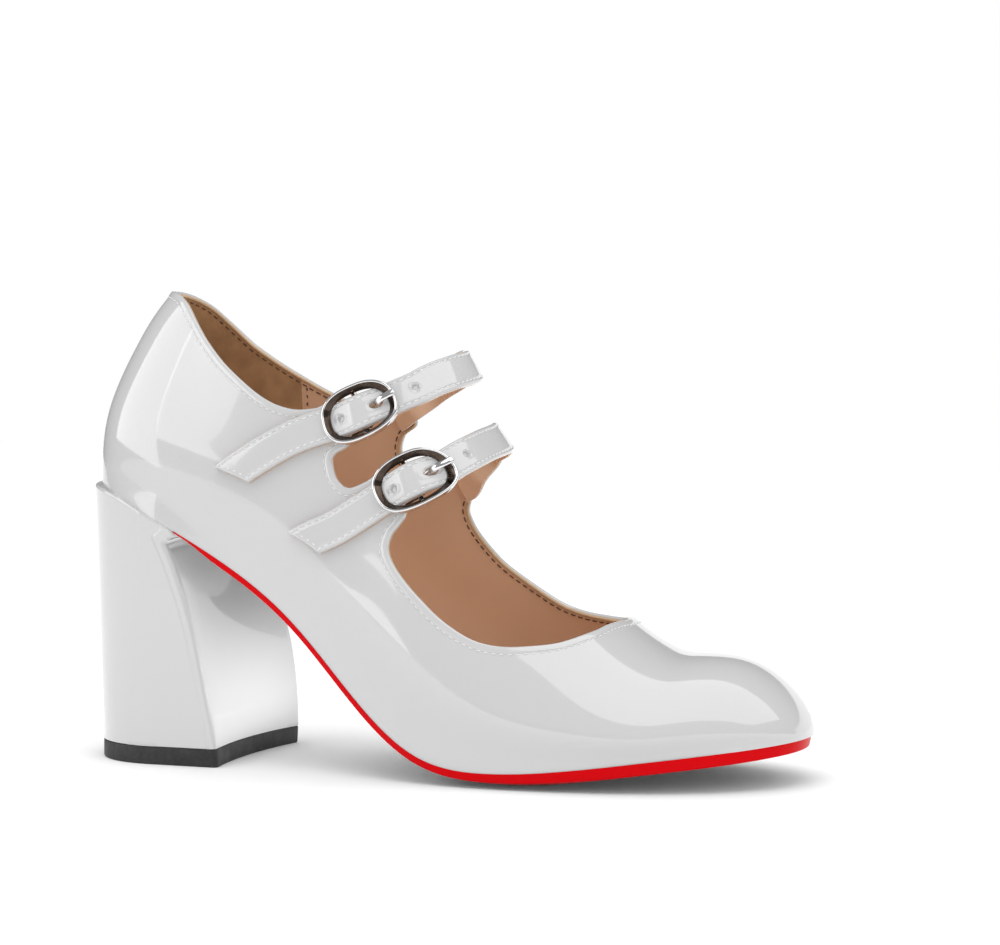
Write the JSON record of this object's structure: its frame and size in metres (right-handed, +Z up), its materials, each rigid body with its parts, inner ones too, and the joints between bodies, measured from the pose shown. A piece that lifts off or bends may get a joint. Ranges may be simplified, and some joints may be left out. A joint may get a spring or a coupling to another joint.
{
  "type": "mary jane pump",
  "caption": "Low-cut pump with a rounded toe, cut-out sides, buckled instep straps, an arched thin sole and a high block heel.",
  "frame": {"origin": "on the floor, under the middle of the shoe's bounding box", "axes": "+X to the toe, +Y to the medial side (the wearer's left of this right shoe), +Z up"},
  "size_m": [0.2178, 0.0808, 0.1387],
  "materials": {
    "patent_leather": "white patent, glossy lacquer",
    "sole_lacquer": "smooth red sole leather",
    "lining_leather": "soft tan lining, matt",
    "black_rubber": "matt",
    "polished_metal": "polished",
    "black_elastic": "ribbed elastic webbing",
    "sewing_thread": "fine thread",
    "lining_suede": "brown suede, matt"
  },
  "bodies": {
    "root": {"upper": "patent_leather", "outsole": "sole_lacquer", "insole": "lining_leather", "heel_block": "patent_leather", "top_lift": "black_rubber", "strap_upper": "patent_leather", "buckle_upper": "polished_metal", "prong_upper": "polished_metal", "elastic_upper": "black_elastic", "strap_lower": "patent_leather", "buckle_lower": "polished_metal", "prong_lower": "polished_metal", "elastic_lower": "black_elastic"}
  },
  "joints": []
}
